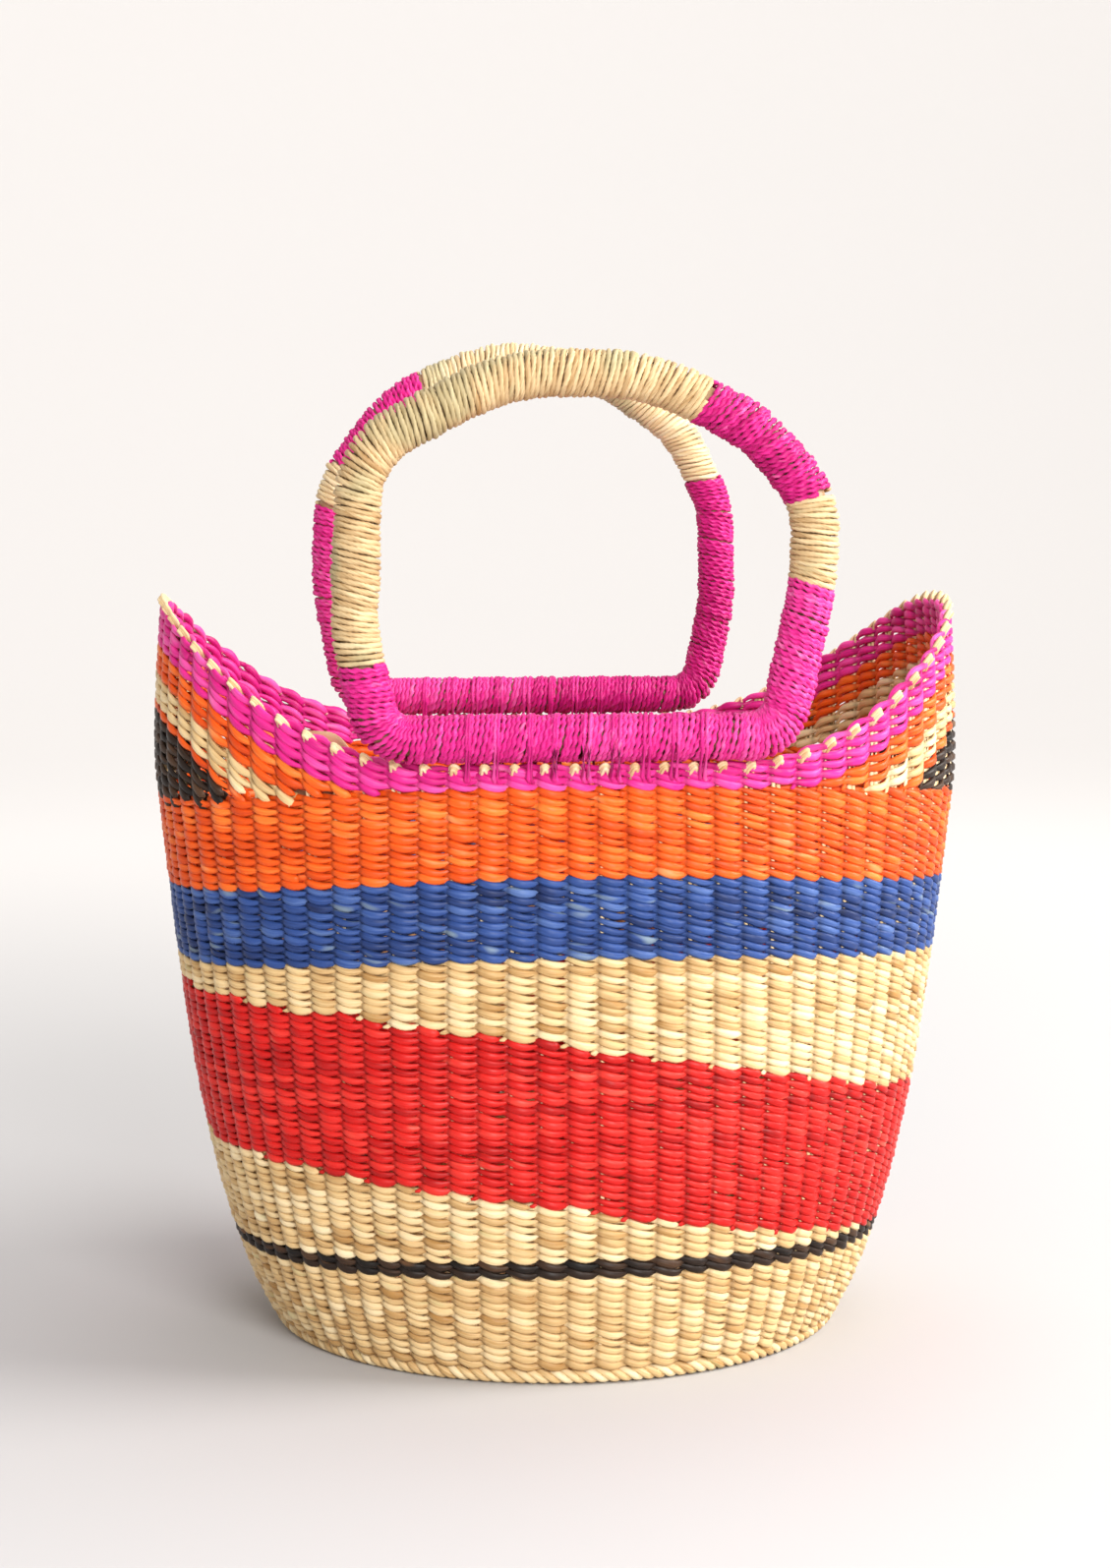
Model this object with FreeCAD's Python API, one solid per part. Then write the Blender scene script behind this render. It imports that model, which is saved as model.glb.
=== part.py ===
import FreeCAD, Part
import math
import os

# Twined grass market basket, millimetres. Origin on the floor under the middle of the base.
# +X is the basket's right-hand wing, +Z is up, and the front wall faces -Y.

# ---- driving dimensions -------------------------------------------------------------
mouthHalfWidth = 163.0          # body line, along X
mouthHalfDepth = 115.0          # body line, along Y
baseHalfWidth = 113.0           # at the floor edge, along X
baseHalfDepth = 111.0           # at the floor edge, along Y
bellyDepthGain = 6.0            # how far the front and back walls bulge past a straight line
flankGain = 13.0                # the same for the two ends
baseSquareness = 2.0            # oval exponent of the base
mouthSquareness = 2.4           # oval exponent of the mouth, a little flatter in front
bodyHeight = 228.5              # top of the straight rows, at the middle of the front wall
rimLift = 7.5                   # rim above those rows, at the middle of the front wall
wingRise = 62.0                 # how far the two wings rise above the middle of the rim
wingStart = 56.0                # the rim is level this far to either side of the middle
wingExponent = 2.0              # how late the wings rise beyond that

outerWeft = 2.0                 # thickness of the outer face of the weave
stakeLayer = 1.6                # thickness of the upright stakes
innerWeft = 1.8                 # thickness of the inner face of the weave
layerGap = 0.3                  # clearance between neighbouring grass layers
stakeCount = 80
stakeWidth = 2.6
knotRadius = 1.5
knotProud = 0.5                 # how far a knot stands out of both faces
knotDrop = 2.7                  # knot axis below the rim, square to the rim
knotClear = 0.2

footRadius = 3.2                # rope border that the basket stands on
footFlat = 2.4                  # width of the flat that standing wears on the rope
baseThickness = 4.5
baseLift = 1.6                  # underside of the base weave above the floor

# heights at the middle of the front wall, and how far each row line drops at the two ends
blackLow = 43.0
blackHigh = 49.0
blueLow = 165.0
blueHigh = 196.5
lowDrop = 9.0
blueLowDrop = 12.0
blueHighDrop = 13.0
bodyDrop = 10.0

# tilted edges of the red band on the front wall: height at the left end and at the right end, before
# the same drop towards both ends that the rows have there
redTopLeft = 156.5
redTopRight = 104.5
redTopDrop = 11.0
redLowLeft = 94.0
redLowRight = 43.0
redLowDrop = 9.4

# the wing bands run parallel to the rim, at these depths below it
pinkDepth = 14.5
highOrangeDepth = 26.0
wingNaturalDepth = 39.5
lowOrangeDepth = 43.0

barGap = 1.6                    # lashed bar above the level part of the rim
coreRadius = 6.0                # bent cane inside each handle
wrapFit = 0.05                  # wrap round the cane
coreButtGap = 1.0               # between the two ends of the bent cane
lashRadius = 0.8
lashClear = 0.3
lashReach = 5.6                 # lashing crosses the wall this far below the rim
lashSpan = 104.0                # length of bar that is lashed down

# The two handles differ a little, as hand-made ones do. The bends of the cane are X, height above the bar
# and bending radius, from the left end of the bar round to its right end. Each run of colour ends at a
# share of the way round, from the middle of the bar up the left leg.
handles = {
    "front": {
        "side": -1, "wrapRadius": 9.1,
        "bends": [(-78.0, 0.0, 14.0), (-87.0, 40.0, 80.0), (-84.5, 106.0, 30.0), (-30.0, 134.5, 80.0),
                  (22.0, 134.0, 80.0), (62.0, 114.5, 60.0), (84.5, 88.0, 30.0), (84.2, 58.0, 120.0),
                  (72.0, 0.0, 14.0)],
        "runs": [("lower_pink", 0.190), ("natural", 0.589), ("upper_pink", 0.691), ("short_natural", 0.753),
                 ("leg_pink", 1.0)],
    },
    "back": {
        "side": 1, "wrapRadius": 8.2,
        "bends": [(-78.0, 0.0, 14.0), (-87.5, 50.0, 80.0), (-85.5, 92.0, 40.0), (-58.5, 130.0, 60.0),
                  (-14.0, 149.0, 70.0), (30.0, 143.5, 80.0), (68.0, 117.0, 40.0), (84.0, 84.0, 40.0),
                  (85.0, 42.0, 80.0), (76.5, 0.0, 14.0)],
        "runs": [("lower_pink", 0.290), ("short_natural", 0.320), ("upper_pink", 0.414), ("natural", 0.685),
                 ("leg_pink", 1.0)],
    },
}

tabLeft = -112.0                # leather tab inside the front rim
tabRight = -87.0
tabLow = 214.0
tabTop = 249.5
tabCorner = 9.0
tabThickness = 1.5

sectionPoints = 40
sectionShares = [0.0, 0.05, 0.13, 0.26, 0.44, 0.62, 0.8, 1.0]
crownShares = [0.35, 0.7, 1.0]
lineReach = 200.0               # half length of the slabs that part the colour bands
lineSteps = 24

wallThickness = outerWeft + stakeLayer + innerWeft + 2.0 * layerGap
footCentre = math.sqrt(footRadius ** 2 - (0.5 * footFlat) ** 2)
wallBottom = footCentre + footRadius + layerGap
shellTop = bodyHeight + rimLift + wingRise + 12.0
sectionHeights = [wallBottom + (bodyHeight - wallBottom) * share for share in sectionShares]
sectionHeights += [bodyHeight + (shellTop - bodyHeight) * share for share in crownShares]
rimMiddle = bodyHeight + rimLift


# ---- the woven surface --------------------------------------------------------------
def halfAxes(height):
    """Half width, half depth and oval exponent of the outer face at a height."""
    share = min(height / bodyHeight, 1.0)
    bow = math.sin(math.pi * share ** 0.62)
    width = baseHalfWidth + (mouthHalfWidth - baseHalfWidth) * share + flankGain * bow
    depth = baseHalfDepth + (mouthHalfDepth - baseHalfDepth) * share + bellyDepthGain * bow
    above = max(height - bodyHeight, 0.0) / wingRise
    width -= 3.0 * above ** 2
    square = baseSquareness + (mouthSquareness - baseSquareness) * share
    return width, depth, square


def sectionPoint(height, angle, inset):
    """A point of the oval section, moved in by inset."""
    width, depth, square = halfAxes(height)
    power = 2.0 / square
    cosine = math.cos(angle)
    sine = math.sin(angle)
    x = math.copysign(abs(cosine) ** power, cosine) * (width - inset)
    y = math.copysign(abs(sine) ** power, sine) * (depth - inset)
    return FreeCAD.Vector(x, y, height)


def evenAngles(height, count, start=0.5):
    """Section angles that space count points evenly round the oval, the first one start spaces in."""
    steps = 1440
    angles = [2.0 * math.pi * step / steps for step in range(steps + 1)]
    points = [sectionPoint(height, angle, 0.0) for angle in angles]
    lengths = [0.0]
    for near, far in zip(points, points[1:]):
        lengths.append(lengths[-1] + near.distanceToPoint(far))
    wanted = [lengths[-1] * (index + start) / count for index in range(count)]
    result = []
    place = 0
    for target in wanted:
        while lengths[place + 1] < target:
            place += 1
        share = (target - lengths[place]) / (lengths[place + 1] - lengths[place])
        result.append(angles[place] + share * (angles[place + 1] - angles[place]))
    return result


def sectionWire(height, inset):
    curve = Part.BSplineCurve()
    angles = evenAngles(height, sectionPoints)
    curve.interpolate([sectionPoint(height, angle, inset) for angle in angles], PeriodicFlag=True)
    return Part.Wire(curve.toShape())


def grownSolid(inset):
    """Everything inside the woven surface moved in by inset, from the foot rope to above the wings."""
    return Part.makeLoft([sectionWire(height, inset) for height in sectionHeights], True, False)


# ---- lines that part the bands ------------------------------------------------------
def wingShare(x):
    """Zero over the level part of the rim, one at the wing tip."""
    return max(abs(x) - wingStart, 0.0) / (mouthHalfWidth - wingStart)


def rimHeight(x):
    return rimMiddle + wingRise * wingShare(x) ** wingExponent


def droppedLine(middle, drop):
    return lambda x: middle - drop * min(abs(x) / mouthHalfWidth, 1.0) ** 2


def tiltedLine(left, right, drop, side):
    """A climb across the wall, left and right as seen from outside it, bowed as the rows are."""
    level = droppedLine(0.5 * (left + right), drop)
    slope = (right - left) / (2.0 * mouthHalfWidth)
    return lambda x: level(x) - side * slope * x


def belowRim(depth):
    return lambda x: rimHeight(x) - depth


def squareBelowRim(depth):
    """A line at a distance from the rim measured square to it."""
    def line(x):
        slope = wingRise * wingExponent / (mouthHalfWidth - wingStart) * wingShare(x) ** (wingExponent - 1.0)
        return rimHeight(x) - depth * math.sqrt(1.0 + slope ** 2)
    return line


def flatLine(height):
    return lambda x: height


def slab(lowLine, highLine, yLow, yHigh):
    """The space between two lines drawn on the front view, extruded along Y."""
    xs = [-lineReach + 2.0 * lineReach * step / lineSteps for step in range(lineSteps + 1)]
    lowPoints = [FreeCAD.Vector(x, yLow, lowLine(x)) for x in xs]
    highPoints = [FreeCAD.Vector(x, yLow, highLine(x)) for x in xs]
    edges = []
    for points in (lowPoints, highPoints):
        curve = Part.BSplineCurve()
        curve.interpolate(points)
        edges.append(curve.toShape())
    left = Part.makeLine(lowPoints[0], highPoints[0])
    right = Part.makeLine(lowPoints[-1], highPoints[-1])
    outline = Part.Wire(Part.__sortEdges__([edges[0], right, edges[1], left]))
    return Part.Face(outline).extrude(FreeCAD.Vector(0.0, yHigh - yLow, 0.0))


def wholeSlab(lowLine, highLine):
    return slab(lowLine, highLine, -lineReach, lineReach)


def halfSlabs(lowEdge, highEdge):
    """A tilted band on the front wall and the same band, turned half round, on the back wall."""
    front = slab(lowEdge(-1), highEdge(-1), -lineReach, 0.0)
    back = slab(lowEdge(1), highEdge(1), 0.0, lineReach)
    return front.fuse(back)


def redTop(side):
    return tiltedLine(redTopLeft, redTopRight, redTopDrop, side)


def redLow(side):
    return tiltedLine(redLowLeft, redLowRight, redLowDrop, side)


def floorEdge(side):
    return underFoot


blackTop = droppedLine(blackHigh, lowDrop)
blackBottom = droppedLine(blackLow, lowDrop)
blueBottom = droppedLine(blueLow, blueLowDrop)
blueTop = droppedLine(blueHigh, blueHighDrop)
bodyTop = droppedLine(bodyHeight, bodyDrop)
underFoot = flatLine(-20.0)


# ---- handles ------------------------------------------------------------------------
def barPlace(handle):
    """Y and Z of the bar's middle line, centred over the wall."""
    depth = mouthHalfDepth - 0.5 * wallThickness - 1.5
    return handle["side"] * depth, rimMiddle + barGap + handle["wrapRadius"]


def barMiddle(handle):
    return 0.5 * (handle["bends"][0][0] + handle["bends"][-1][0])


def hoopEdges(handle):
    """Lines and tangent arcs of the closed hoop, from the middle of the bar round by the left."""
    y, z = barPlace(handle)
    corners = handle["bends"]
    middle = barMiddle(handle)
    points = [FreeCAD.Vector(middle, y, z)]
    points += [FreeCAD.Vector(x, y, z + up) for x, up, radius in corners]
    points.append(FreeCAD.Vector(middle, y, z))
    edges = []
    start = points[0]
    for index, (x, up, radius) in enumerate(corners):
        corner = points[index + 1]
        back = (points[index] - corner).normalize()
        ahead = (points[index + 2] - corner).normalize()
        halfAngle = 0.5 * back.getAngle(ahead)
        reach = radius / math.tan(halfAngle)
        first = corner + back * reach
        last = corner + ahead * reach
        inward = (back + ahead).normalize()
        centre = corner + inward * (radius / math.sin(halfAngle))
        through = centre - inward * radius
        edges.append(Part.makeLine(start, first))
        edges.append(Part.Arc(first, through, last).toShape())
        start = last
    edges.append(Part.makeLine(start, points[-1]))
    return edges


def stretch(edges, start, end):
    """The run of the hoop between two lengths from its beginning."""
    kept = []
    passed = 0.0
    for edge in edges:
        low = max(start - passed, 0.0)
        high = min(end - passed, edge.Length)
        if high - low > 1e-6:
            first = edge.getParameterByLength(low)
            last = edge.getParameterByLength(high)
            kept.append(edge.Curve.toShape(first, last))
        passed += edge.Length
    return Part.Wire(kept)


def rod(path, radius):
    """A round rod along a path."""
    edge = path.OrderedEdges[0]
    start = path.OrderedVertexes[0].Point
    near = edge.valueAt(edge.FirstParameter).distanceToPoint(start) < 1e-6
    place = edge.FirstParameter if near else edge.LastParameter
    tangent = edge.tangentAt(place)
    profile = Part.Wire(Part.makeCircle(radius, start, tangent))
    return path.makePipeShell([profile], True, False)


def handleParts(name, handle):
    """Core, and one sleeve of wrapping for each run of colour."""
    edges = hoopEdges(handle)
    total = sum(edge.Length for edge in edges)
    nodes = {}
    core = rod(stretch(edges, 0.5 * coreButtGap, total - 0.5 * coreButtGap), coreRadius)
    nodes[name + "_handle_core"] = core
    start = 0.0
    for label, end in handle["runs"]:
        path = stretch(edges, total * start, total * end)
        sleeve = rod(path, handle["wrapRadius"]).cut(rod(path, coreRadius + wrapFit))
        nodes[name + "_wrap_" + label] = sleeve
        start = end
    return nodes


# ---- lashings -----------------------------------------------------------------------
def lashLoop(handle, angle):
    """One loop of grass round the bar and through the weave just under the rim."""
    y, z = barPlace(handle)
    crossing = rimMiddle - lashReach
    wall = sectionPoint(crossing, angle, 0.5 * wallThickness)
    bigRadius = handle["wrapRadius"] + lashClear + lashRadius
    smallRadius = 0.5 * wallThickness + lashClear + lashRadius
    top = FreeCAD.Vector(wall.x, y, z)
    low = FreeCAD.Vector(wall.x, wall.y, crossing + smallRadius)
    down = (low - top).normalize()
    across = FreeCAD.Vector(0.0, -down.z, down.y)
    lean = (bigRadius - smallRadius) / top.distanceToPoint(low)
    spread = math.sqrt(1.0 - lean ** 2)
    rightWay = across * spread + down * lean
    leftWay = across * -spread + down * lean
    topRight = top + rightWay * bigRadius
    topLeft = top + leftWay * bigRadius
    lowRight = low + rightWay * smallRadius
    lowLeft = low + leftWay * smallRadius
    edges = [
        Part.Arc(topRight, top - down * bigRadius, topLeft).toShape(),
        Part.makeLine(topLeft, lowLeft),
        Part.Arc(lowLeft, low + down * smallRadius, lowRight).toShape(),
        Part.makeLine(lowRight, topRight),
    ]
    return rod(Part.Wire(edges), lashRadius)


def lashHole(angle):
    """The gap in the weave that a lashing passes through, as deep as the loop's curve is there."""
    smallRadius = 0.5 * wallThickness + lashClear + lashRadius
    sag = smallRadius - math.sqrt(smallRadius ** 2 - (0.5 * wallThickness) ** 2)
    height = rimMiddle - lashReach + 0.5 * sag
    middle = sectionPoint(height, angle, 0.5 * wallThickness)
    start = middle - FreeCAD.Vector(0.0, wallThickness, 0.0)
    ahead = FreeCAD.Vector(0.0, 1.0, 0.0)
    return Part.makeCylinder(lashRadius + 0.5 * sag + lashClear, 2.0 * wallThickness, start, ahead)


def lashAngles(handle):
    """The gaps between stakes that lie under the bar."""
    middle = barMiddle(handle)
    chosen = []
    for angle in evenAngles(bodyHeight, stakeCount, 0.0):
        gap = sectionPoint(bodyHeight, angle, 0.0)
        if gap.y * handle["side"] > 0.0 and abs(gap.x - middle) < 0.5 * lashSpan:
            chosen.append(angle)
    return chosen


# ---- stakes and knots ---------------------------------------------------------------
def headingPoint(height, heading, inset):
    """The wall at a compass heading, moved in by inset."""
    width, depth, square = halfAxes(height)
    across = (abs(math.cos(heading)) / (width - inset)) ** square
    along = (abs(math.sin(heading)) / (depth - inset)) ** square
    reach = (across + along) ** (-1.0 / square)
    return FreeCAD.Vector(reach * math.cos(heading), reach * math.sin(heading), height)


def stake(angle, topLine):
    """One upright stake, a flat pair of straws, standing between the two faces of the weave."""
    foot = sectionPoint(bodyHeight, angle, 0.0)
    heading = math.atan2(foot.y, foot.x)
    outer = outerWeft + layerGap
    inner = outer + stakeLayer
    top = topLine(foot.x)
    wires = []
    for height in sectionHeights:
        middle = headingPoint(height, heading, outer)
        turn = math.atan2(0.5 * stakeWidth, math.hypot(middle.x, middle.y))
        places = [(outer, -turn), (outer, turn), (inner, turn), (inner, -turn)]
        corners = [headingPoint(height, heading + aside, inset) for inset, aside in places]
        wires.append(Part.makePolygon(corners + corners[:1]))
    tall = Part.makeLoft(wires, True, False)
    spare = Part.makeBox(2.0 * lineReach, 2.0 * lineReach, shellTop, FreeCAD.Vector(-lineReach, -lineReach, top))
    return tall.cut(spare)


def knot(angle, extra):
    """The folded end of one stake: a short plug across the wall, just under the rim."""
    probe = sectionPoint(bodyHeight, angle, 0.5 * wallThickness)
    height = squareBelowRim(knotDrop)(probe.x)
    middle = sectionPoint(height, angle, 0.5 * wallThickness)
    ahead = sectionPoint(height, angle + 0.01, 0.0)
    behind = sectionPoint(height, angle - 0.01, 0.0)
    along = (ahead - behind).normalize()
    outward = FreeCAD.Vector(along.y, -along.x, 0.0)
    length = wallThickness + 2.0 * (knotProud + extra)
    start = middle - outward * (0.5 * length)
    return Part.makeCylinder(knotRadius + extra, length, start, outward)


# ---- build --------------------------------------------------------------------------
def solidsOnly(shape):
    return Part.makeCompound(shape.Solids)


os.makedirs("parts", exist_ok=True)
nodes = {}

insets = [0.0, outerWeft, wallThickness - innerWeft, wallThickness]
outerSolid, outerCore, innerSolid, innerCore = [grownSolid(inset) for inset in insets]

underRim = wholeSlab(underFoot, belowRim(0.0))
outerShell = outerSolid.cut(outerCore).common(underRim)
innerShell = innerSolid.cut(innerCore).common(underRim)

stakeAngles = evenAngles(bodyHeight, stakeCount)
knotHoles = Part.makeCompound([knot(angle, knotClear) for angle in stakeAngles])
lashHoles = []
for handle in handles.values():
    lashHoles += [lashHole(angle) for angle in lashAngles(handle)]
holes = [knotHoles] + lashHoles

nodes["lower_natural_band"] = outerShell.common(wholeSlab(underFoot, blackBottom))
nodes["black_line_band"] = outerShell.common(wholeSlab(blackBottom, blackTop))
middleShell = outerShell.common(wholeSlab(blackTop, blueBottom))
redCutter = halfSlabs(redLow, redTop)
lowCutter = halfSlabs(floorEdge, redLow)
nodes["lower_natural_wedges"] = middleShell.common(lowCutter)
nodes["red_band"] = middleShell.common(redCutter)
nodes["upper_natural_wedges"] = middleShell.cut(lowCutter).cut(redCutter)
nodes["blue_band"] = outerShell.common(wholeSlab(blueBottom, blueTop))
nodes["orange_band"] = outerShell.common(wholeSlab(blueTop, bodyTop))
crownShell = outerShell.cut(wholeSlab(underFoot, bodyTop))
wingLines = [
    ("wing_dark_band", None, lowOrangeDepth),
    ("wing_low_orange_band", lowOrangeDepth, wingNaturalDepth),
    ("wing_natural_band", wingNaturalDepth, highOrangeDepth),
    ("wing_high_orange_band", highOrangeDepth, pinkDepth),
]
for label, deep, shallow in wingLines:
    lowLine = underFoot if deep is None else belowRim(deep)
    nodes[label] = crownShell.common(wholeSlab(lowLine, belowRim(shallow)))
pinkBand = crownShell.cut(wholeSlab(underFoot, belowRim(pinkDepth)))
nodes["pink_rim_band"] = pinkBand.cut(holes)

stakeTop = squareBelowRim(knotDrop + knotRadius + 0.5 * stakeWidth + 4.0 * layerGap)
nodes["warp_stakes"] = Part.makeCompound([stake(angle, stakeTop) for angle in stakeAngles])
nodes["inner_weft"] = innerShell.cut(holes)
nodes["rim_knots"] = Part.makeCompound([knot(angle, 0.0) for angle in stakeAngles])

footWidth, footDepth = halfAxes(footCentre)[:2]
footEllipse = Part.Ellipse(FreeCAD.Vector(0.0, 0.0, footCentre), footWidth - footRadius, footDepth - footRadius)
footRope = rod(Part.Wire(footEllipse.toShape()), footRadius)
worn = Part.makeBox(2.0 * lineReach, 2.0 * lineReach, footRadius, FreeCAD.Vector(-lineReach, -lineReach, -footRadius))
nodes["foot_border"] = footRope.cut(worn)
print("rope middle line at the front, y", round(footRadius - footDepth, 3))
discWidth = footWidth - 2.0 * footRadius - layerGap
discDepth = footDepth - 2.0 * footRadius - layerGap
discEdge = Part.Ellipse(FreeCAD.Vector(0.0, 0.0, baseLift), discWidth, discDepth)
discFace = Part.Face(Part.Wire(discEdge.toShape()))
nodes["base_weave"] = discFace.extrude(FreeCAD.Vector(0.0, 0.0, baseThickness))

tabInset = wallThickness + knotProud + layerGap
tabShell = grownSolid(tabInset).cut(grownSolid(tabInset + tabThickness))
tabBlank = Part.makeBox(tabRight - tabLeft, lineReach, tabTop - tabLow, FreeCAD.Vector(tabLeft, -lineReach, tabLow))
roundEdges = [edge for edge in tabBlank.Edges if abs(edge.tangentAt(edge.FirstParameter).y) > 0.5]
tabBlank = tabBlank.makeFillet(tabCorner, roundEdges)
nodes["leather_tab"] = tabShell.common(tabBlank)

for name, handle in handles.items():
    nodes.update(handleParts(name, handle))
    loops = [lashLoop(handle, angle) for angle in lashAngles(handle)]
    nodes[name + "_lashings"] = Part.makeCompound(loops)

for name, shape in nodes.items():
    group = solidsOnly(shape)
    group.exportStep("parts/" + name + ".step")
    box = group.BoundBox
    print(name, len(group.Solids), round(group.Volume, 1), round(box.ZMin, 2), round(box.ZMax, 2), group.isValid())
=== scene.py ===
import bpy
import bmesh
import math
import numpy as np
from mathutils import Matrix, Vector


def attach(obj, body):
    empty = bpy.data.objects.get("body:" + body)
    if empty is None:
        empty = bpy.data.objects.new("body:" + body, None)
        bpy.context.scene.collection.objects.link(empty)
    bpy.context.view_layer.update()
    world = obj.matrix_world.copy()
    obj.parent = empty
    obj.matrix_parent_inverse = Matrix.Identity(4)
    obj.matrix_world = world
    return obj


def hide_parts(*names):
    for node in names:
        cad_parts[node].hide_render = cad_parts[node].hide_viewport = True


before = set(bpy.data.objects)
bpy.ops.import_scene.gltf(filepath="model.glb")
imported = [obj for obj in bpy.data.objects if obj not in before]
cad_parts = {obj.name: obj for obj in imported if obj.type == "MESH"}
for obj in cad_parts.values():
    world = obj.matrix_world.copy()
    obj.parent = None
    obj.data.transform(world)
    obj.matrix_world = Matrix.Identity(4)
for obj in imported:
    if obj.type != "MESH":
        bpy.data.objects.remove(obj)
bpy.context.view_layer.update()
print("frame loaded:", len(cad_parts), "nodes")

tau = 2.0 * math.pi
toneLength = 0.030        # a strand's tone drifts over this length
dice = np.random.default_rng(11)

# the oval wall, the same one that the frame was built on
wall = {
    "baseHalfWidth": 0.113, "baseHalfDepth": 0.111, "mouthHalfWidth": 0.163, "mouthHalfDepth": 0.115,
    "flankGain": 0.013, "bellyGain": 0.006, "baseSquareness": 2.0, "mouthSquareness": 2.4,
    "bottom": 0.0067, "bodyHeight": 0.2285, "rimLift": 0.0075, "wingRise": 0.062, "wingStart": 0.056,
    "middleInset": 0.0030, "stakes": 80, "bodyRows": 73,
    "dropHeights": [0.0, 0.049, 0.165, 0.1965, 0.2285],   # row height at the middle of the front wall
    "dropAmounts": [0.0, 0.009, 0.012, 0.013, 0.010],     # how far that row has dropped at the two ends
}

# one twined strand
strand = {
    "halfHeight": 0.00172, "halfThickness": 0.00105, "reach": 0.00150, "slant": 0.00118, "skew": 0.62,
    "steps": 7, "sides": 6, "tipThickness": 0.66, "heightJitter": 0.15, "rowJitter": 0.00018,
}

# the red band's two edges, and the rows of the other bands, counted up from the floor
bands = {
    "blackStart": 12, "tiltedStart": 14, "blueStart": 52, "orangeStart": 62,
    "redTopMiddle": 0.1305, "redTopSlope": -0.159, "redLowMiddle": 0.0685, "redLowSlope": -0.155,
}

# rows that build up the wings, counted down from the rim
wings = {
    "middlePitch": 0.0026, "wingPitch": 0.0039, "fanStart": 0.045, "fanEnd": 0.115,
    "highOrangeStart": 4, "naturalStart": 7, "lowOrangeStart": 10, "darkStart": 11, "rows": 21,
}


# ---- the wall's surface
def halfAxes(height):
    share = np.clip(height / wall["bodyHeight"], 0.0, 1.0)
    bow = np.sin(math.pi * share ** 0.62)
    width = wall["baseHalfWidth"] + (wall["mouthHalfWidth"] - wall["baseHalfWidth"]) * share
    depth = wall["baseHalfDepth"] + (wall["mouthHalfDepth"] - wall["baseHalfDepth"]) * share
    above = np.maximum(height - wall["bodyHeight"], 0.0) / wall["wingRise"]
    width = width + wall["flankGain"] * bow - 0.003 * above ** 2
    depth = depth + wall["bellyGain"] * bow
    square = wall["baseSquareness"] + (wall["mouthSquareness"] - wall["baseSquareness"]) * share
    return width, depth, square


def headingTable():
    # spaces the stakes evenly round the mouth: compass heading against stake number
    width, depth, square = halfAxes(np.array(wall["bodyHeight"]))
    angle = np.linspace(0.0, tau, 2401)
    x = np.copysign(np.abs(np.cos(angle)) ** (2.0 / square), np.cos(angle)) * width
    y = np.copysign(np.abs(np.sin(angle)) ** (2.0 / square), np.sin(angle)) * depth
    length = np.concatenate([[0.0], np.cumsum(np.hypot(np.diff(x), np.diff(y)))])
    heading = np.unwrap(np.arctan2(y, x))
    heading[0], heading[-1] = 0.0, tau
    return length / length[-1] * wall["stakes"], heading


stakeTable, stakeHeadings = headingTable()


def headingAt(place):
    turns = np.floor(place / wall["stakes"])
    return turns * tau + np.interp(place - turns * wall["stakes"], stakeTable, stakeHeadings)


def wallPoints(place, height, inset):
    # stake number, height and depth into the wall give a point
    heading = headingAt(place)
    width, depth, square = halfAxes(height)
    across = (np.abs(np.cos(heading)) / (width - inset)) ** square
    along = (np.abs(np.sin(heading)) / (depth - inset)) ** square
    reach = (across + along) ** (-1.0 / square)
    return np.stack([reach * np.cos(heading), reach * np.sin(heading), height + 0.0 * reach], axis=-1)


def rimHeight(x):
    share = np.maximum(np.abs(x) - wall["wingStart"], 0.0) / (wall["mouthHalfWidth"] - wall["wingStart"])
    return wall["bodyHeight"] + wall["rimLift"] + wall["wingRise"] * share ** 2


def bodyRowHeight(level, x):
    # level is the row's height at the middle of the front wall
    drop = np.interp(level, wall["dropHeights"], wall["dropAmounts"])
    return level - drop * np.minimum(np.abs(x) / wall["mouthHalfWidth"], 1.0) ** 2


rowPitch = (wall["bodyHeight"] - wall["bottom"]) / wall["bodyRows"]


def rowLevel(row):
    return wall["bottom"] + rowPitch * (row + 0.5)


def wingRowHeight(row, x):
    fan = np.clip((np.abs(x) - wings["fanStart"]) / (wings["fanEnd"] - wings["fanStart"]), 0.0, 1.0)
    pitch = wings["middlePitch"] + (wings["wingPitch"] - wings["middlePitch"]) * fan
    return rimHeight(x) - (row + 0.5) * pitch


# ---- strands as curves, made into meshes
def ellipseProfile(name, halfWide, halfTall, sides):
    curve = bpy.data.curves.new(name, "CURVE")
    curve.dimensions = "2D"
    spline = curve.splines.new("POLY")
    spline.points.add(sides - 1)
    for index, point in enumerate(spline.points):
        angle = tau * (index + 0.5) / sides
        point.co = (halfWide * math.cos(angle), halfTall * math.sin(angle), 0.0, 1.0)
    spline.use_cyclic_u = True
    shape = bpy.data.objects.new(name, curve)
    bpy.context.scene.collection.objects.link(shape)
    return shape


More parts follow.
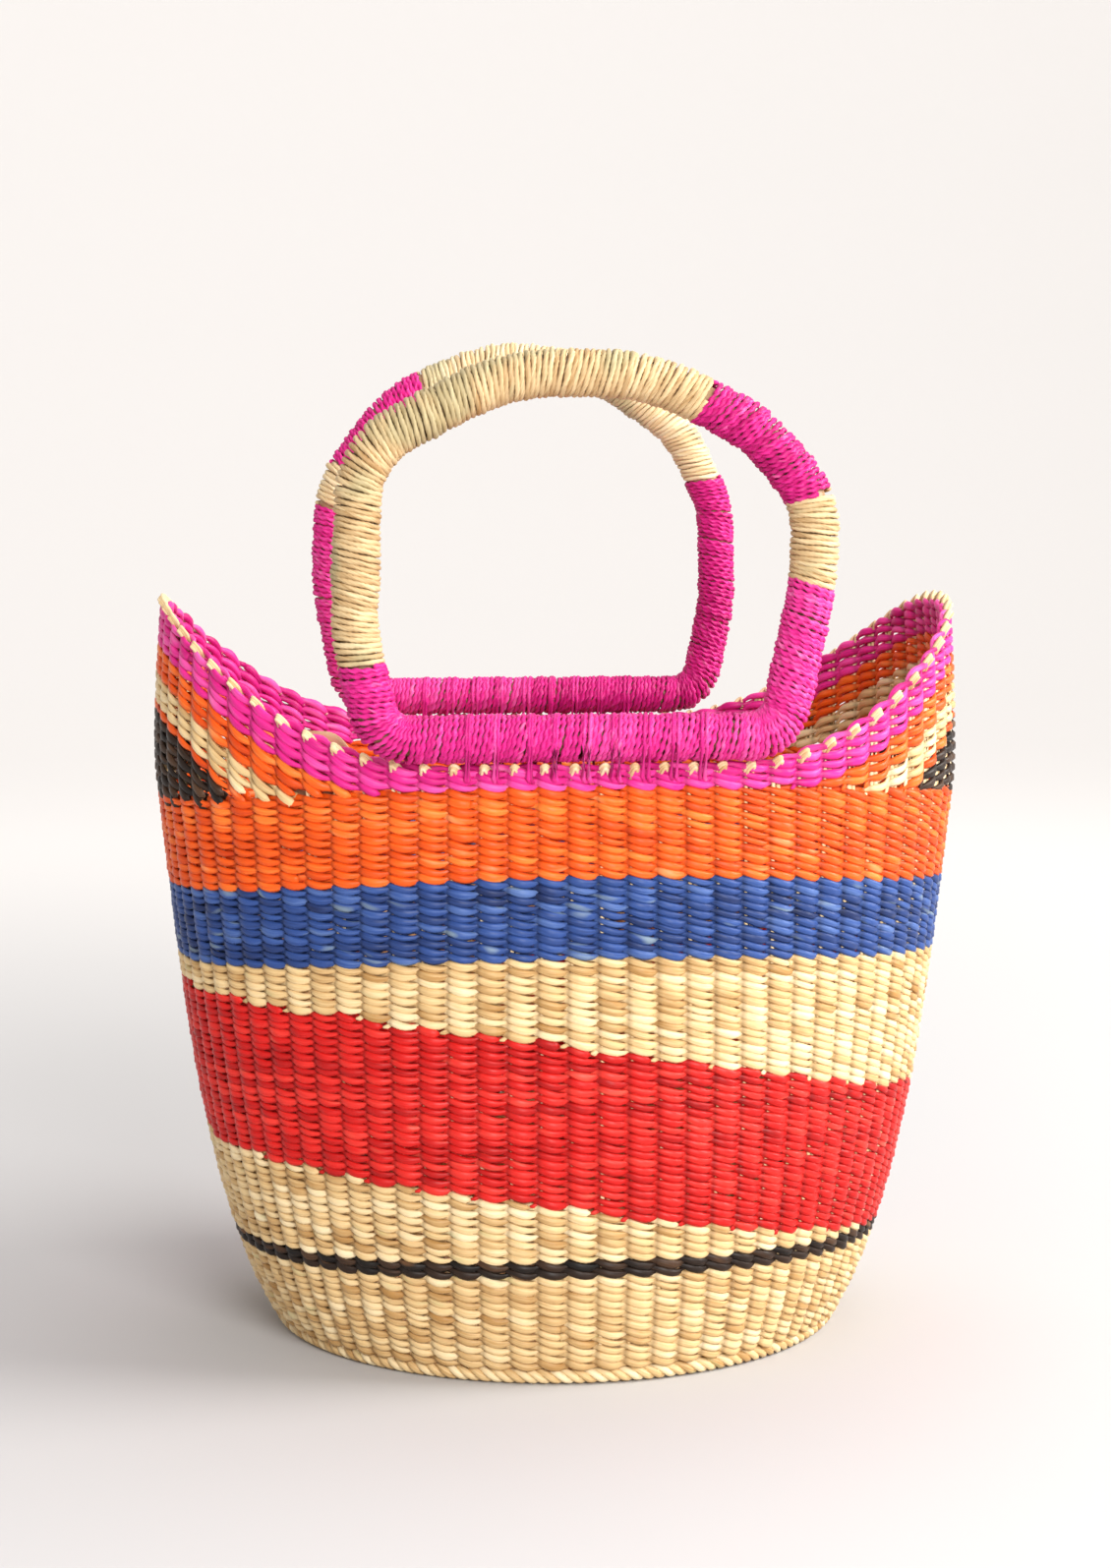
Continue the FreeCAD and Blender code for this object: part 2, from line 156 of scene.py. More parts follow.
def strandPiece(name, runs, profile, material, body, nodes, closed=False, lay=0.0):
    # runs is a list of (points, thickness factors, painted shade); every run becomes one strand of the piece
    sides = len(profile.data.splines[0].points)
    curve = bpy.data.curves.new(name + "_path", "CURVE")
    curve.dimensions = "3D"
    curve.twist_mode = "MINIMUM" if lay else "Z_UP"
    curve.bevel_mode = "OBJECT"
    curve.bevel_object = profile
    curve.use_fill_caps = False
    for points, factors, shade in runs:
        spline = curve.splines.new("POLY")
        spline.points.add(len(points) - 1)
        flat = np.concatenate([points, np.ones((len(points), 1))], axis=1).astype(np.float32)
        spline.points.foreach_set("co", flat.ravel())
        spline.points.foreach_set("radius", np.asarray(factors, np.float32))
        if lay:
            along = np.concatenate([[0.0], np.cumsum(np.linalg.norm(np.diff(points, axis=0), axis=1))])
            spline.points.foreach_set("tilt", (tau * along / lay).astype(np.float32))
        spline.use_cyclic_u = closed
        spline.use_smooth = True
    path = bpy.data.objects.new(name + "_path", curve)
    bpy.context.scene.collection.objects.link(path)
    bpy.context.view_layer.update()
    graph = bpy.context.evaluated_depsgraph_get()
    mesh = bpy.data.meshes.new_from_object(path.evaluated_get(graph))
    mesh.name = name
    bpy.data.objects.remove(path)
    piece = bpy.data.objects.new(name, mesh)
    bpy.context.scene.collection.objects.link(piece)
    addStrandCoordinates(mesh, runs, sides, closed)
    closeEnds(mesh)
    mesh.materials.clear()
    mesh.materials.append(material)
    for polygon in mesh.polygons:
        polygon.use_smooth = True
    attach(piece, body)
    if nodes:
        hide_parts(*nodes)
    return piece


def addStrandCoordinates(mesh, runs, sides, closed):
    # every strand carries its own tone, its painted shade, and a coordinate that runs along it, for the grass
    # material
    tone = []
    fibre = []
    shades = []
    for points, factors, shade in runs:
        count = len(points)
        along = np.concatenate([[0.0], np.cumsum(np.linalg.norm(np.diff(points, axis=0), axis=1))])
        angle = tau * (np.arange(sides) + 0.5) / sides
        start = dice.uniform(0.0, 40.0)
        shift = dice.uniform(-20.0, 20.0)
        ring = np.zeros((count, sides, 3))
        ring[:, :, 0] = np.cos(angle)[None, :] * 0.5 + shift
        ring[:, :, 1] = np.sin(angle)[None, :] * 0.5 - shift
        ring[:, :, 2] = along[:, None] + start
        fibre.append(ring.reshape(-1, 3))
        marks = dice.uniform(0.0, 1.0, int(along[-1] / toneLength) + 2)
        wander = np.interp(along / toneLength, np.arange(len(marks)), marks)
        blend = 0.55 * dice.uniform(0.0, 1.0) + 0.45 * wander
        tone.append(np.repeat(blend, sides))
        shades.append(np.repeat(shade, sides))
    tone = np.concatenate(tone).astype(np.float32)
    shades = np.concatenate(shades).astype(np.float32)
    fibre = np.concatenate(fibre).astype(np.float32)
    toneLayer = mesh.attributes.new("strandTone", "FLOAT", "POINT")
    toneLayer.data.foreach_set("value", tone)
    shadeLayer = mesh.attributes.new("strandShade", "FLOAT", "POINT")
    shadeLayer.data.foreach_set("value", shades)
    fibreLayer = mesh.attributes.new("fibreCoordinate", "FLOAT_VECTOR", "POINT")
    fibreLayer.data.foreach_set("vector", fibre.ravel())


def closeEnds(mesh):
    shell = bmesh.new()
    shell.from_mesh(mesh)
    openEdges = [edge for edge in shell.edges if edge.is_boundary]
    bmesh.ops.holes_fill(shell, edges=openEdges, sides=0)
    bmesh.ops.recalc_face_normals(shell, faces=shell.faces[:])
    shell.to_mesh(mesh)
    shell.free()


# ---- twined rows
# places are shares of one stitch, from the gap where it comes out to the gap where it dives
leaf = {
    "start": 0.72, "gain": 0.28, "fullAt": 0.34,
    "taperFrom": 0.60, "taperLength": 0.34, "taperPower": 1.3,
    "tipAt": 0.94, "tipLength": 0.06, "shadeEnd": 0.22, "shadeLength": 0.16,
}


def leafShape(turn):
    # a stitch is a leaf: tucked and darkened with painted shade at its start, full in the middle, narrow at its
    # end
    share = np.mod(turn + 0.5 * math.pi, math.pi) / math.pi
    tip = strand["tipThickness"]
    swell = leaf["start"] + leaf["gain"] * np.clip(share / leaf["fullAt"], 0.0, 1.0)
    narrowing = np.clip((share - leaf["taperFrom"]) / leaf["taperLength"], 0.0, 1.0)
    taper = 1.0 - (1.0 - tip) * narrowing ** leaf["taperPower"]
    widening = np.clip((share - leaf["tipAt"]) / leaf["tipLength"], 0.0, 1.0)
    rebound = tip + (leaf["start"] - tip) * widening
    # painted shade over the first part of each stitch, where it comes out from under its neighbour
    shade = np.clip((leaf["shadeEnd"] - share) / leaf["shadeLength"], 0.0, 1.0)
    return np.where(share > leaf["tipAt"], rebound, np.minimum(swell, taper)), shade


def twinedRun(start, end, rowHeight, side):
    # one strand of a twined pair, from gap to gap
    # side 0 lies outside the even stakes, side 1 outside the odd ones
    count = int(round((end - start) * strand["steps"])) + 1
    place = np.linspace(start, end, count)
    turn = math.pi * (place - 0.5 - side)
    stitch = np.floor(place + side * 0.5).astype(int)
    wobble = dice.normal(0.0, 1.0, int(end - start) + 4)
    wave = np.interp(place, np.arange(len(wobble)) + start - 1.0, wobble)
    fat = 1.0 + strand["heightJitter"] * np.interp(place, np.arange(len(wobble)) + start - 1.0,
                                                   dice.normal(0.0, 1.0, len(wobble)))
    inset = wall["middleInset"] - strand["reach"] * np.cos(turn - strand["skew"])
    guess = wallPoints(place, np.full(count, wall["bodyHeight"] * 0.5), wall["middleInset"])
    height = rowHeight(guess[:, 0])
    guess = wallPoints(place, height, wall["middleInset"])
    height = rowHeight(guess[:, 0]) - strand["slant"] * np.sin(turn) + strand["rowJitter"] * wave
    # thickness along the stitch, and the painted shade at its start
    factors, shade = leafShape(turn - strand["skew"])
    factors = factors * np.clip(fat, 0.72, 1.22)
    return wallPoints(place, height, inset), factors, shade


def twinedRow(start, end, rowHeight):
    runs = [twinedRun(start, end, rowHeight, side) for side in (0, 1)]
    if end - start < wall["stakes"]:
        for points, factors, shade in runs:
            factors[0] = factors[-1] = 0.25
    return runs


def redTone(row, place):
    # colour of the tilted part of the wall at one stake
    # the back wall repeats the front, turned half round
    level = rowLevel(row)
    point = wallPoints(np.array([place]), np.array([level]), wall["middleInset"])[0]
    sideways = point[0] if point[1] < 0.0 else -point[0]
    if level > bands["redTopMiddle"] + bands["redTopSlope"] * sideways:
        return "upperNatural"
    if level < bands["redLowMiddle"] + bands["redLowSlope"] * sideways:
        return "lowerNatural"
    return "redFront" if point[1] < 0.0 else "redBack"


def bodyTone(row, place):
    if row < bands["blackStart"]:
        return "floorNatural"
    if row < bands["tiltedStart"]:
        return "blackLine"
    if row < bands["blueStart"]:
        return redTone(row, place)
    return "blue" if row < bands["orangeStart"] else "orange"


def wingTone(row):
    if row < wings["highOrangeStart"]:
        return "pinkRim"
    if row < wings["naturalStart"]:
        return "highOrange"
    if row < wings["lowOrangeStart"]:
        return "wingNatural"
    return "lowOrange" if row < wings["darkStart"] else "wingDark"


def sameRuns(marks):
    # stretches of equal marks round the closed ring of stakes, as (first gap, last gap, mark)
    count = len(marks)
    if len(set(marks)) == 1:
        begin = int(dice.integers(0, count))
        return [(begin, begin + count, marks[0])]
    first = next(index for index in range(count) if marks[index] != marks[index - 1])
    stretches = []
    begin = first
    for step in range(first + 1, first + count + 1):
        if step == first + count or marks[step % count] != marks[(step - 1) % count]:
            stretches.append((begin, step, marks[begin % count]))
            begin = step
    return stretches


def gatherRows():
    rows = {}
    stakes = wall["stakes"]
    for row in range(wall["bodyRows"]):
        level = rowLevel(row)
        marks = [bodyTone(row, stake + 0.5) for stake in range(stakes)]
        for begin, end, mark in sameRuns(marks):
            bodyStrands = twinedRow(begin, end, lambda x, at=level: bodyRowHeight(at, x))
            rows.setdefault(mark, []).extend(bodyStrands)
    spots = wallPoints(np.arange(stakes) + 0.5, np.full(stakes, wall["bodyHeight"]), wall["middleInset"])
    bodyTop = bodyRowHeight(wall["bodyHeight"], spots[:, 0])
    for row in range(wings["rows"]):
        shown = wingRowHeight(row, spots[:, 0]) > bodyTop + 0.0006
        marks = [wingTone(row) if show else "none" for show in shown]
        for begin, end, mark in sameRuns(marks):
            if mark != "none" and end - begin > 1:
                wingStrands = twinedRow(begin, end, lambda x, at=row: wingRowHeight(at, x))
                rows.setdefault(mark, []).extend(wingStrands)
    return rows


# ---- materials
def groupNode(group, kind, x, y):
    node = group.nodes.new(kind)
    node.location = (x, y)
    return node


def grassFibreGroup():
    # colour, roughness and height of one dyed or natural grass strand
    group = bpy.data.node_groups.new("grassFibre", "ShaderNodeTree")
    face = group.interface
    for name, kind, value in (
        ("Deep", "NodeSocketColor", (0.1, 0.1, 0.1, 1.0)),
        ("Middle", "NodeSocketColor", (0.5, 0.5, 0.5, 1.0)),
        ("Pale", "NodeSocketColor", (0.8, 0.8, 0.8, 1.0)),
        ("Fleck", "NodeSocketColor", (0.8, 0.7, 0.5, 1.0)),
        ("Fleck amount", "NodeSocketFloat", 0.2), ("Tone spread", "NodeSocketFloat", 0.6),
        ("Streak", "NodeSocketFloat", 0.35), ("Base roughness", "NodeSocketFloat", 0.5),
        ("Tuck shade", "NodeSocketFloat", 0.6), ("Cloud amount", "NodeSocketFloat", 0.0),
    ):
        socket = face.new_socket(name=name, in_out="INPUT", socket_type=kind)
        socket.default_value = value
    madeOutputs = {"Color": "NodeSocketColor", "Roughness": "NodeSocketFloat", "Height": "NodeSocketFloat"}
    for name, kind in madeOutputs.items():
        face.new_socket(name=name, in_out="OUTPUT", socket_type=kind)
    inputs = groupNode(group, "NodeGroupInput", -1200, 0)
    outputs = groupNode(group, "NodeGroupOutput", 900, 0)
    tone = groupNode(group, "ShaderNodeAttribute", -1200, 300)
    tone.attribute_name = "strandTone"
    fibre = groupNode(group, "ShaderNodeAttribute", -1200, -300)
    fibre.attribute_name = "fibreCoordinate"
    stretch = groupNode(group, "ShaderNodeMapping", -1000, -300)
    stretch.inputs["Scale"].default_value = (5.0, 5.0, 70.0)
    streaks = groupNode(group, "ShaderNodeTexNoise", -800, -200)
    streaks.inputs["Scale"].default_value = 1.0
    streaks.inputs["Detail"].default_value = 3.0
    patch = groupNode(group, "ShaderNodeMapping", -1000, -600)
    patch.inputs["Scale"].default_value = (0.6, 0.6, 55.0)
    patches = groupNode(group, "ShaderNodeTexNoise", -800, -500)
    patches.inputs["Scale"].default_value = 1.0
    patches.inputs["Detail"].default_value = 1.0
    link = group.links.new
    link(fibre.outputs["Vector"], stretch.inputs["Vector"])
    link(stretch.outputs["Vector"], streaks.inputs["Vector"])
    link(fibre.outputs["Vector"], patch.inputs["Vector"])
    link(patch.outputs["Vector"], patches.inputs["Vector"])

    spread = groupNode(group, "ShaderNodeMath", -800, 300)   # strand tone about the middle
    spread.operation = "SUBTRACT"
    spread.inputs[1].default_value = 0.5
    link(tone.outputs["Fac"], spread.inputs[0])
    scaled = groupNode(group, "ShaderNodeMath", -620, 300)
    scaled.operation = "MULTIPLY"
    link(spread.outputs[0], scaled.inputs[0])
    link(inputs.outputs["Tone spread"], scaled.inputs[1])
    grain = groupNode(group, "ShaderNodeMath", -620, -100)
    grain.operation = "SUBTRACT"
    grain.inputs[1].default_value = 0.5
    link(streaks.outputs["Fac"], grain.inputs[0])
    grainScaled = groupNode(group, "ShaderNodeMath", -440, -100)
    grainScaled.operation = "MULTIPLY"
    link(grain.outputs[0], grainScaled.inputs[0])
    link(inputs.outputs["Streak"], grainScaled.inputs[1])
    patchGrain = groupNode(group, "ShaderNodeMath", -440, -450)
    patchGrain.operation = "MULTIPLY_ADD"
    patchGrain.inputs[1].default_value = 0.5
    patchGrain.inputs[2].default_value = 0.25
    link(patches.outputs["Fac"], patchGrain.inputs[0])
    total = groupNode(group, "ShaderNodeMath", -260, 150)
    link(scaled.outputs[0], total.inputs[0])
    link(grainScaled.outputs[0], total.inputs[1])
    place = groupNode(group, "ShaderNodeMath", -80, 150)
    link(total.outputs[0], place.inputs[0])
    link(patchGrain.outputs[0], place.inputs[1])
    place.use_clamp = True

    low = groupNode(group, "ShaderNodeMapRange", 80, 250)
    low.inputs["From Max"].default_value = 0.5
    high = groupNode(group, "ShaderNodeMapRange", 80, 0)
    high.inputs["From Min"].default_value = 0.5
    link(place.outputs[0], low.inputs["Value"])
    link(place.outputs[0], high.inputs["Value"])
    darkMix = groupNode(group, "ShaderNodeMix", 280, 250)
    darkMix.data_type = "RGBA"
    link(low.outputs["Result"], darkMix.inputs["Factor"])
    link(inputs.outputs["Deep"], darkMix.inputs["A"])
    link(inputs.outputs["Middle"], darkMix.inputs["B"])
    paleMix = groupNode(group, "ShaderNodeMix", 460, 150)
    paleMix.data_type = "RGBA"
    link(high.outputs["Result"], paleMix.inputs["Factor"])
    link(darkMix.outputs["Result"], paleMix.inputs["A"])
    link(inputs.outputs["Pale"], paleMix.inputs["B"])
    fleckMask = groupNode(group, "ShaderNodeMapRange", 280, -300)
    fleckMask.inputs["From Min"].default_value = 0.66
    fleckMask.inputs["From Max"].default_value = 0.76
    link(patches.outputs["Fac"], fleckMask.inputs["Value"])
    fleckScaled = groupNode(group, "ShaderNodeMath", 460, -300)
    fleckScaled.operation = "MULTIPLY"
    link(fleckMask.outputs["Result"], fleckScaled.inputs[0])
    link(inputs.outputs["Fleck amount"], fleckScaled.inputs[1])
    where = groupNode(group, "ShaderNodeTexCoord", -1200, -800)
    cloud = groupNode(group, "ShaderNodeTexNoise", -800, -800)
    cloud.inputs["Scale"].default_value = 38.0
    cloud.inputs["Detail"].default_value = 1.0
    cloudMask = groupNode(group, "ShaderNodeMapRange", -440, -700)
    cloudMask.inputs["From Min"].default_value = 0.54
    cloudMask.inputs["From Max"].default_value = 0.64
    cloudScaled = groupNode(group, "ShaderNodeMath", 280, -600)
    cloudScaled.operation = "MULTIPLY"
    anyFleck = groupNode(group, "ShaderNodeMath", 560, -420)
    anyFleck.operation = "MAXIMUM"
    link(where.outputs["Object"], cloud.inputs["Vector"])
    link(cloud.outputs["Fac"], cloudMask.inputs["Value"])
    link(cloudMask.outputs["Result"], cloudScaled.inputs[0])
    link(inputs.outputs["Cloud amount"], cloudScaled.inputs[1])
    link(fleckScaled.outputs[0], anyFleck.inputs[0])
    link(cloudScaled.outputs[0], anyFleck.inputs[1])
    fleckMix = groupNode(group, "ShaderNodeMix", 660, 100)
    fleckMix.data_type = "RGBA"
    link(anyFleck.outputs[0], fleckMix.inputs["Factor"])
    link(paleMix.outputs["Result"], fleckMix.inputs["A"])
    link(inputs.outputs["Fleck"], fleckMix.inputs["B"])
    rough = groupNode(group, "ShaderNodeMath", 660, -150)
    rough.operation = "MULTIPLY_ADD"
    rough.inputs[1].default_value = 0.25
    link(streaks.outputs["Fac"], rough.inputs[0])
    link(inputs.outputs["Base roughness"], rough.inputs[2])
    # painted shade: the colour is darkened where a strand dives under its neighbour
    shade = groupNode(group, "ShaderNodeAttribute", 280, 500)
    shade.attribute_name = "strandShade"
    shadeScaled = groupNode(group, "ShaderNodeMath", 460, 500)
    shadeScaled.operation = "MULTIPLY"
    tucked = groupNode(group, "ShaderNodeMix", 800, 250)
    tucked.data_type = "RGBA"
    tucked.blend_type = "MULTIPLY"
    # the colour of the painted shade
    tucked.inputs["B"].default_value = (0.16, 0.09, 0.06, 1.0)
    link(shade.outputs["Fac"], shadeScaled.inputs[0])
    link(inputs.outputs["Tuck shade"], shadeScaled.inputs[1])
    link(shadeScaled.outputs[0], tucked.inputs["Factor"])
    link(fleckMix.outputs["Result"], tucked.inputs["A"])
    link(tucked.outputs["Result"], outputs.inputs["Color"])
    link(rough.outputs[0], outputs.inputs["Roughness"])
    link(streaks.outputs["Fac"], outputs.inputs["Height"])
    return group


grassFibre = grassFibreGroup()


def grassMaterial(name, look):
    material = bpy.data.materials.new(name)
    material.use_nodes = True
    tree = material.node_tree
    shader = tree.nodes["Principled BSDF"]
    fibre = tree.nodes.new("ShaderNodeGroup")
    fibre.node_tree = grassFibre
    fibre.location = (-500, 100)
    for socket in ("Deep", "Middle", "Pale", "Fleck"):
        fibre.inputs[socket].default_value = (*look[socket.lower()], 1.0)
    fibre.inputs["Fleck amount"].default_value = look["fleckAmount"]
    fibre.inputs["Tone spread"].default_value = look["spread"]
    fibre.inputs["Streak"].default_value = look["streak"]
    fibre.inputs["Base roughness"].default_value = look["roughness"]
    fibre.inputs["Tuck shade"].default_value = look.get("tuckShade", 0.50)
    fibre.inputs["Cloud amount"].default_value = look.get("cloud", 0.0)
    bump = tree.nodes.new("ShaderNodeBump")
    bump.location = (-250, -200)
    bump.inputs["Strength"].default_value = look["bump"]
    bump.inputs["Distance"].default_value = 0.0004
    tree.links.new(fibre.outputs["Color"], shader.inputs["Base Color"])
    tree.links.new(fibre.outputs["Roughness"], shader.inputs["Roughness"])
    tree.links.new(fibre.outputs["Height"], bump.inputs["Height"])
    tree.links.new(bump.outputs["Normal"], shader.inputs["Normal"])
    shader.inputs["Sheen Weight"].default_value = look["sheen"]
    shader.inputs["Sheen Roughness"].default_value = 0.4
    shader.inputs["Specular IOR Level"].default_value = 0.28
    return material


grassLooks = {
    "natural": {"deep": (0.44, 0.23, 0.07), "middle": (0.77, 0.54, 0.26), "pale": (0.92, 0.76, 0.48),
                "fleck": (0.50, 0.46, 0.20), "fleckAmount": 0.45, "spread": 1.0, "streak": 0.7,
                "roughness": 0.30, "bump": 0.4, "sheen": 0.04},
    "handleNatural": {"deep": (0.46, 0.27, 0.11), "middle": (0.78, 0.58, 0.32), "pale": (0.92, 0.79, 0.54),
                      "fleck": (0.40, 0.37, 0.20), "fleckAmount": 0.35, "spread": 0.9, "streak": 0.8,
                      "roughness": 0.34, "bump": 0.5, "sheen": 0.04, "cloud": 0.55},
    "orange": {"deep": (0.58, 0.045, 0.002), "middle": (0.84, 0.105, 0.006), "pale": (0.96, 0.24, 0.035),
               "fleck": (0.95, 0.55, 0.25), "fleckAmount": 0.30, "spread": 0.9, "streak": 0.7,
               "roughness": 0.28, "bump": 0.4, "sheen": 0.04},
    "pink": {"deep": (0.46, 0.003, 0.13), "middle": (0.78, 0.020, 0.27), "pale": (0.90, 0.11, 0.42),
             "fleck": (0.93, 0.45, 0.62), "fleckAmount": 0.25, "spread": 0.9, "streak": 0.7,
             "roughness": 0.30, "bump": 0.4, "sheen": 0.06},
    "blue": {"deep": (0.010, 0.022, 0.090), "middle": (0.030, 0.075, 0.270), "pale": (0.11, 0.19, 0.43),
             "fleck": (0.30, 0.38, 0.36), "fleckAmount": 0.55, "spread": 1.0, "streak": 0.7,
             "roughness": 0.30, "bump": 0.4, "sheen": 0.04},
    "red": {"deep": (0.34, 0.002, 0.002), "middle": (0.64, 0.009, 0.007), "pale": (0.82, 0.045, 0.030),
            "fleck": (0.85, 0.25, 0.15), "fleckAmount": 0.25, "spread": 0.9, "streak": 0.7,
            "roughness": 0.28, "bump": 0.4, "sheen": 0.04},
    "black": {"deep": (0.006, 0.004, 0.003), "middle": (0.026, 0.012, 0.006), "pale": (0.085, 0.040, 0.018),
              "fleck": (0.22, 0.10, 0.04), "fleckAmount": 0.6, "spread": 1.0, "streak": 0.7,
              "roughness": 0.32, "bump": 0.4, "sheen": 0.04},
    "straw": {"deep": (0.55, 0.33, 0.12), "middle": (0.84, 0.62, 0.34), "pale": (0.95, 0.80, 0.55),
              "fleck": (0.70, 0.48, 0.24), "fleckAmount": 0.3, "spread": 0.8, "streak": 0.8,
              "roughness": 0.32, "bump": 0.4, "sheen": 0.04},
}
grass = {name: grassMaterial(name + "Grass", look) for name, look in grassLooks.items()}
print("grass materials made")


# ---- the woven wall
rowPieces = {
    "floorNatural": ("rows_lower_natural", "natural", ["lower_natural_band"]),
    "blackLine": ("rows_black_line", "black", ["black_line_band"]),
    "lowerNatural": ("rows_lower_wedges", "natural", ["lower_natural_wedges"]),
    "redFront": ("rows_red_front", "red", ["red_band"]),
    "redBack": ("rows_red_back", "red", ["red_band"]),
    "upperNatural": ("rows_upper_wedges", "natural", ["upper_natural_wedges"]),
    "blue": ("rows_blue", "blue", ["blue_band"]),
    "orange": ("rows_orange", "orange", ["orange_band", "inner_weft"]),
    "pinkRim": ("rows_pink_rim", "pink", ["pink_rim_band"]),
    "highOrange": ("rows_wing_high_orange", "orange", ["wing_high_orange_band"]),
    "wingNatural": ("rows_wing_natural", "natural", ["wing_natural_band"]),
    "lowOrange": ("rows_wing_low_orange", "orange", ["wing_low_orange_band"]),
    "wingDark": ("rows_wing_dark", "black", ["wing_dark_band"]),
}
rowProfile = ellipseProfile("row_profile", strand["halfThickness"], strand["halfHeight"], strand["sides"])
woven = gatherRows()
for mark, runs in woven.items():
    pieceName, tone, nodes = rowPieces[mark]
    strandPiece(pieceName, runs, rowProfile, grass[tone], "basket", nodes)
print("woven rows made:", sum(len(runs) for runs in woven.values()), "strands")

# the base is twined round and round on stakes that double in number towards the edge
base = {
    "middleHeight": 0.00385, "outerInset": 0.0105, "pitch": 0.0030, "reach": 0.00112, "slant": 0.00085,
    "halfHeight": 0.00145, "halfThickness": 0.00085, "steps": 5,
    "stakeSteps": [(0.058, 80), (0.029, 40), (0.0, 20)],
}


def baseRow(ring):
    floorWidth, floorDepth, square = halfAxes(np.array(0.0032))
    width = floorWidth - base["outerInset"] - ring * base["pitch"]
    depth = floorDepth - base["outerInset"] - ring * base["pitch"] * 0.98
    stakes = next(count for radius, count in base["stakeSteps"] if width > radius)
    place = np.arange(stakes * base["steps"]) / base["steps"]
    heading = headingAt(place * wall["stakes"] / stakes)
    runs = []
    for side in (0, 1):
        turn = math.pi * (place - 0.5 - side)
        outward = -base["slant"] * np.sin(turn) + dice.normal(0.0, 0.00008, len(place))
        x = (width + outward) * np.cos(heading)
        y = (depth + outward) * np.sin(heading)
        z = base["middleHeight"] - base["reach"] * np.cos(turn - strand["skew"])
        # thickness along each stitch, and the painted shade at its start
        factors, shade = leafShape(turn - strand["skew"])
        runs.append((np.stack([x, y, z], axis=-1), factors, shade))
    return runs


baseRuns = []
for ring in range(35):
    baseRuns += baseRow(ring)
baseProfile = ellipseProfile("base_profile", base["halfHeight"], base["halfThickness"], strand["sides"])
strandPiece("base_spiral", baseRuns, baseProfile, grass["natural"], "basket", ["base_weave"], closed=True)

# the rope row that the basket stands on
rope = {
    "radius": 0.0032, "twist": 0.00165, "strandRadius": 0.00148, "strands": 3, "lay": 0.0135, "steps": 9,
}
ropeWidth, ropeDepth, ropeSquare = halfAxes(np.array(rope["radius"]))
ropeTurns = int(round(math.pi * (ropeWidth + ropeDepth) / rope["lay"]))
ropeAngle = tau * np.arange(ropeTurns * rope["steps"]) / (ropeTurns * rope["steps"])
ropeRuns = []
for ply in range(rope["strands"]):
    twist = ropeTurns * ropeAngle + tau * ply / rope["strands"]
    outward = rope["twist"] * np.cos(twist) - rope["radius"]
    ropePoints = np.stack([(ropeWidth + outward) * np.cos(ropeAngle), (ropeDepth + outward) * np.sin(ropeAngle),
                           rope["radius"] - rope["twist"] * np.sin(twist)], axis=-1)
    ropeRuns.append((ropePoints, np.ones(len(ropeAngle)), np.zeros(len(ropeAngle))))
ropeProfile = ellipseProfile("rope_profile", rope["strandRadius"], rope["strandRadius"], 6)
strandPiece("foot_rope", ropeRuns, ropeProfile, grass["natural"], "basket", ["foot_border"], closed=True)

# stakes are pairs of straws that run out under the base and up the wall
sticks = {
    "radius": 0.00088, "apart": 0.092, "innerRadii": [0.008, 0.060, 0.031, 0.060], "topDepth": 0.0030,
}
stickRuns = []
for stake in range(wall["stakes"]):
    foot = wallPoints(np.array([stake + 0.5]), np.array([wall["bodyHeight"]]), wall["middleInset"])[0]
    top = rimHeight(foot[0]) - sticks["topDepth"]
    for shift in (-sticks["apart"], sticks["apart"]):
        place = stake + 0.5 + shift
        heading = headingAt(np.array([place]))[0]
        inner = sticks["innerRadii"][stake % 4]
        reach = np.linspace(inner, 0.1045, 6)
        flat = np.stack([reach * math.cos(heading), reach * math.sin(heading) * 0.98,
                         np.full(6, base["middleHeight"])], axis=-1)
        heights = np.linspace(0.0085, top, 30)
        rise = wallPoints(np.full(30, place), heights, wall["middleInset"] + 0.0 * heights)
        points = np.concatenate([flat, rise])
        stickRuns.append((points, np.full(len(points), dice.uniform(0.85, 1.1)), np.zeros(len(points))))
stickProfile = ellipseProfile("stick_profile", sticks["radius"], sticks["radius"], 5)
strandPiece("stake_straws", stickRuns, stickProfile, grass["straw"], "basket", ["warp_stakes"])

# each pair of straws is bent over the last row and tucked back down beside itself
knots = {"radius": 0.00072, "span": 0.46, "rise": 0.0011, "drop": 0.0034, "proud": 0.0006}
knotRuns = []
for stake in range(wall["stakes"]):
    for layer in (0, 1, 2):
        bend = np.linspace(0.0, 1.0, 9)
        place = stake + 0.5 + knots["span"] * (bend - 0.5) * (1.0 - 0.24 * layer)
        spot = wallPoints(place, np.full(9, wall["bodyHeight"]), wall["middleInset"])
        arch = np.sin(math.pi * bend)
        height = rimHeight(spot[:, 0]) - knots["drop"] + (knots["drop"] + knots["rise"]) * arch ** 0.6
        height = height - 0.0007 * layer
        inset = wall["middleInset"] + 0.0006 - (0.0021 + knots["proud"]) * arch - 0.00045 * layer
        knotLine = wallPoints(place, height, inset)
        # painted shade: each knot loop is darker towards its two ends, where it goes into the weave
        knotRuns.append((knotLine, np.full(9, dice.uniform(0.85, 1.15)), 0.5 * (1.0 - arch)))
knotProfile = ellipseProfile("knot_profile", knots["radius"], knots["radius"], 6)
strandPiece("rim_knot_loops", knotRuns, knotProfile, grass["straw"], "basket", ["rim_knots"])
print("base, rope, stakes and knots made")

